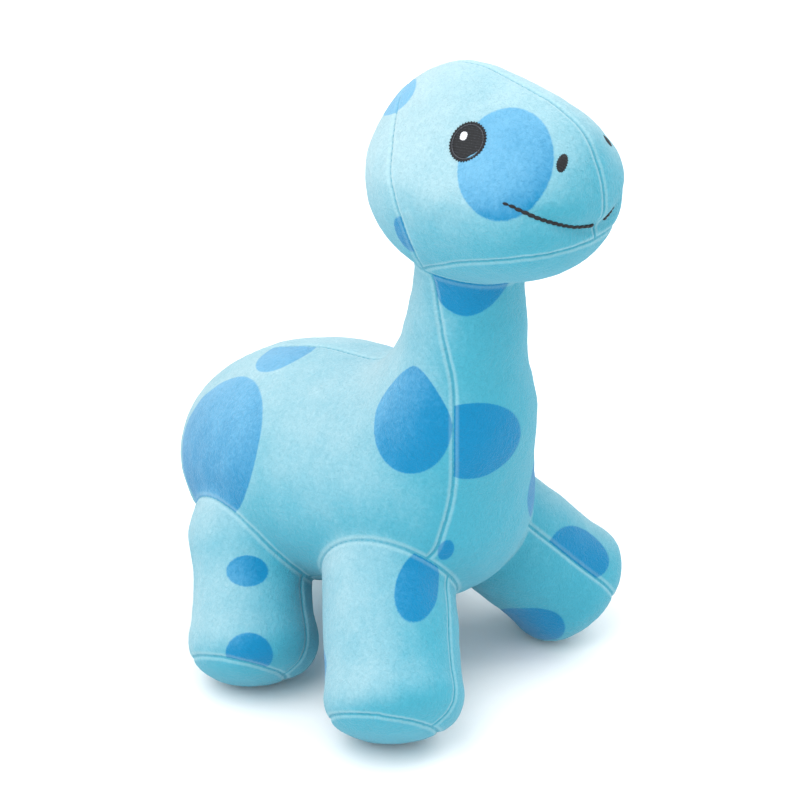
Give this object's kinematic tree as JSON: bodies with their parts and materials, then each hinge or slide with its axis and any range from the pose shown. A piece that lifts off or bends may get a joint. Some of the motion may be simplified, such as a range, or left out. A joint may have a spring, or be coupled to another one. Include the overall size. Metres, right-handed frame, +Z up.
{
  "type": "stuffed dinosaur toy",
  "caption": "Long-necked stuffed dinosaur of soft spotted plush, sewn from shaped panels, standing on splayed stuffed legs, with an embroidered face and a bending neck, legs and tail.",
  "frame": {"origin": "centre of the toy's box, on the surface that it stands on", "axes": "+Z up, -Y towards the snout, -X to the toy's own right"},
  "size_m": [0.1614, 0.2163, 0.2509],
  "materials": {
    "plush_cloth": "short pale aqua pile with printed sky-blue spots",
    "fibre_stuffing": "loose white polyester fibre",
    "black_thread": "satin-stitched embroidery thread",
    "white_thread": "satin-stitched embroidery thread"
  },
  "bodies": {
    "trunk": {"trunk_side_right": "plush_cloth", "trunk_side_left": "plush_cloth", "belly_gusset": "plush_cloth", "trunk_stuffing": "fibre_stuffing"},
    "neck_lower": {"neck_lower_side_right": "plush_cloth", "neck_lower_side_left": "plush_cloth", "neck_lower_gusset": "plush_cloth", "neck_lower_stuffing": "fibre_stuffing"},
    "neck_upper": {"neck_upper_side_right": "plush_cloth", "neck_upper_side_left": "plush_cloth", "neck_upper_gusset": "plush_cloth", "neck_upper_stuffing": "fibre_stuffing"},
    "head": {"face_panel_right": "plush_cloth", "face_panel_left": "plush_cloth", "head_back_right": "plush_cloth", "head_back_left": "plush_cloth", "chin_panel": "plush_cloth", "head_stuffing": "fibre_stuffing", "eye_rim_right": "black_thread", "eye_rim_left": "black_thread", "eye_disc_right": "black_thread", "eye_disc_left": "black_thread", "eye_glint_right": "white_thread", "eye_glint_left": "white_thread", "nostril_right": "black_thread", "nostril_left": "black_thread", "mouth_stitch": "black_thread"},
    "tail": {"tail_panel_right": "plush_cloth", "tail_panel_left": "plush_cloth", "tail_stuffing": "fibre_stuffing"},
    "front_leg_right": {"front_leg_right_outer": "plush_cloth", "front_leg_right_inner": "plush_cloth", "front_leg_right_sole": "plush_cloth", "front_leg_right_stuffing": "fibre_stuffing"},
    "front_leg_left": {"front_leg_left_outer": "plush_cloth", "front_leg_left_inner": "plush_cloth", "front_leg_left_sole": "plush_cloth", "front_leg_left_stuffing": "fibre_stuffing"},
    "hind_leg_right": {"hind_leg_right_outer": "plush_cloth", "hind_leg_right_inner": "plush_cloth", "hind_leg_right_sole": "plush_cloth", "hind_leg_right_stuffing": "fibre_stuffing"},
    "hind_leg_left": {"hind_leg_left_outer": "plush_cloth", "hind_leg_left_inner": "plush_cloth", "hind_leg_left_sole": "plush_cloth", "hind_leg_left_stuffing": "fibre_stuffing"}
  },
  "joints": [
    {"name": "neck_bend", "type": "hinge", "parent": "trunk", "child": "neck_lower", "pos_m": [0, -0.0407, 0.11], "axis": [1, 0, 0], "range_deg": [-15, 20], "stiffness_Nm_per_rad": 1.5},
    {"name": "neck_turn", "type": "hinge", "parent": "neck_lower", "child": "neck_upper", "pos_m": [0, -0.04438, 0.14501], "axis": [0, -0.1045, 0.9945], "range_deg": [-25, 25], "stiffness_Nm_per_rad": 0.5},
    {"name": "head_nod", "type": "hinge", "parent": "neck_upper", "child": "head", "pos_m": [0, -0.04802, 0.17962], "axis": [1, 0, 0], "range_deg": [-12, 15], "stiffness_Nm_per_rad": 0.8},
    {"name": "front_leg_right_swing", "type": "hinge", "parent": "trunk", "child": "front_leg_right", "pos_m": [-0.03, -0.0337, 0.055], "axis": [1, 0, 0], "range_deg": [-25, 12], "stiffness_Nm_per_rad": 1},
    {"name": "front_leg_left_swing", "type": "hinge", "parent": "trunk", "child": "front_leg_left", "pos_m": [0.03, -0.0337, 0.055], "axis": [1, 0, 0], "range_deg": [-25, 12], "stiffness_Nm_per_rad": 1},
    {"name": "hind_leg_right_swing", "type": "hinge", "parent": "trunk", "child": "hind_leg_right", "pos_m": [-0.034, 0.0313, 0.052], "axis": [1, 0, 0], "range_deg": [-12, 25], "stiffness_Nm_per_rad": 1},
    {"name": "hind_leg_left_swing", "type": "hinge", "parent": "trunk", "child": "hind_leg_left", "pos_m": [0.034, 0.0313, 0.052], "axis": [1, 0, 0], "range_deg": [-12, 25], "stiffness_Nm_per_rad": 1},
    {"name": "tail_wag", "type": "hinge", "parent": "trunk", "child": "tail", "pos_m": [0.006, 0.0723, 0.06], "axis": [0, 0, 1], "range_deg": [-15, 25], "stiffness_Nm_per_rad": 0.2}
  ]
}
